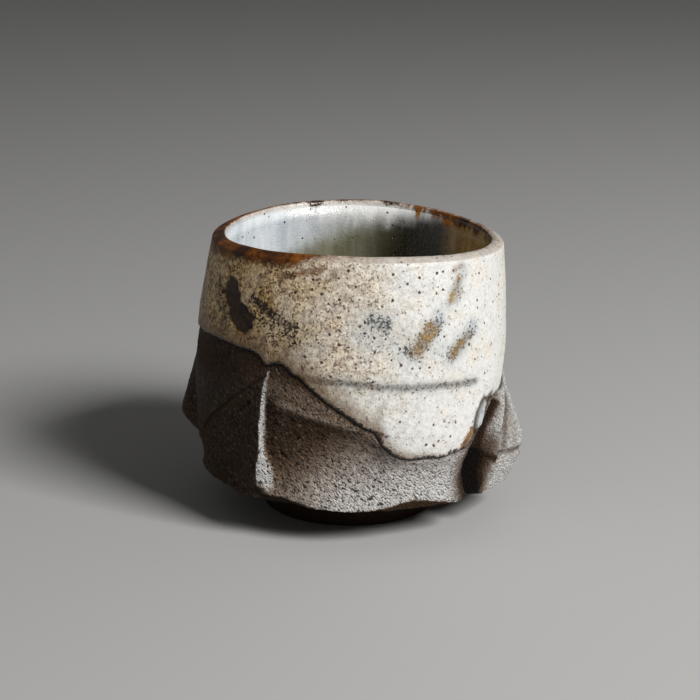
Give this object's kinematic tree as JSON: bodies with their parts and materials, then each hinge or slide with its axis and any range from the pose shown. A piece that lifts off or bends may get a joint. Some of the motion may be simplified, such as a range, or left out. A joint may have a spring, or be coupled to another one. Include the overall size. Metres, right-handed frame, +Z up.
{
  "type": "sake cup",
  "caption": "Hand-cut stoneware sake cup with scooped facets between standing ridges, a foot ring and a white glaze dipped over the upper wall; holds a drink.",
  "frame": {"origin": "on the table under the middle of the cup's overall width and depth, where the foot ring stands", "axes": "+Z up out of the cup's mouth, -Y towards the front with the standing fin and the glaze's long dip, +X towards the right-hand lug"},
  "size_m": [0.0766, 0.0699, 0.063],
  "materials": {
    "cut_stoneware": "matte",
    "trimmed_stoneware": "matte",
    "white_ash_glaze": "satin",
    "iron_brown_glaze": "satin",
    "grey_lining_glaze": "gloss"
  },
  "bodies": {
    "root": {"clay_body": "cut_stoneware", "foot_ring": "trimmed_stoneware", "outer_glaze": "white_ash_glaze", "rim_glaze": "iron_brown_glaze", "inner_glaze": "grey_lining_glaze"}
  },
  "joints": []
}
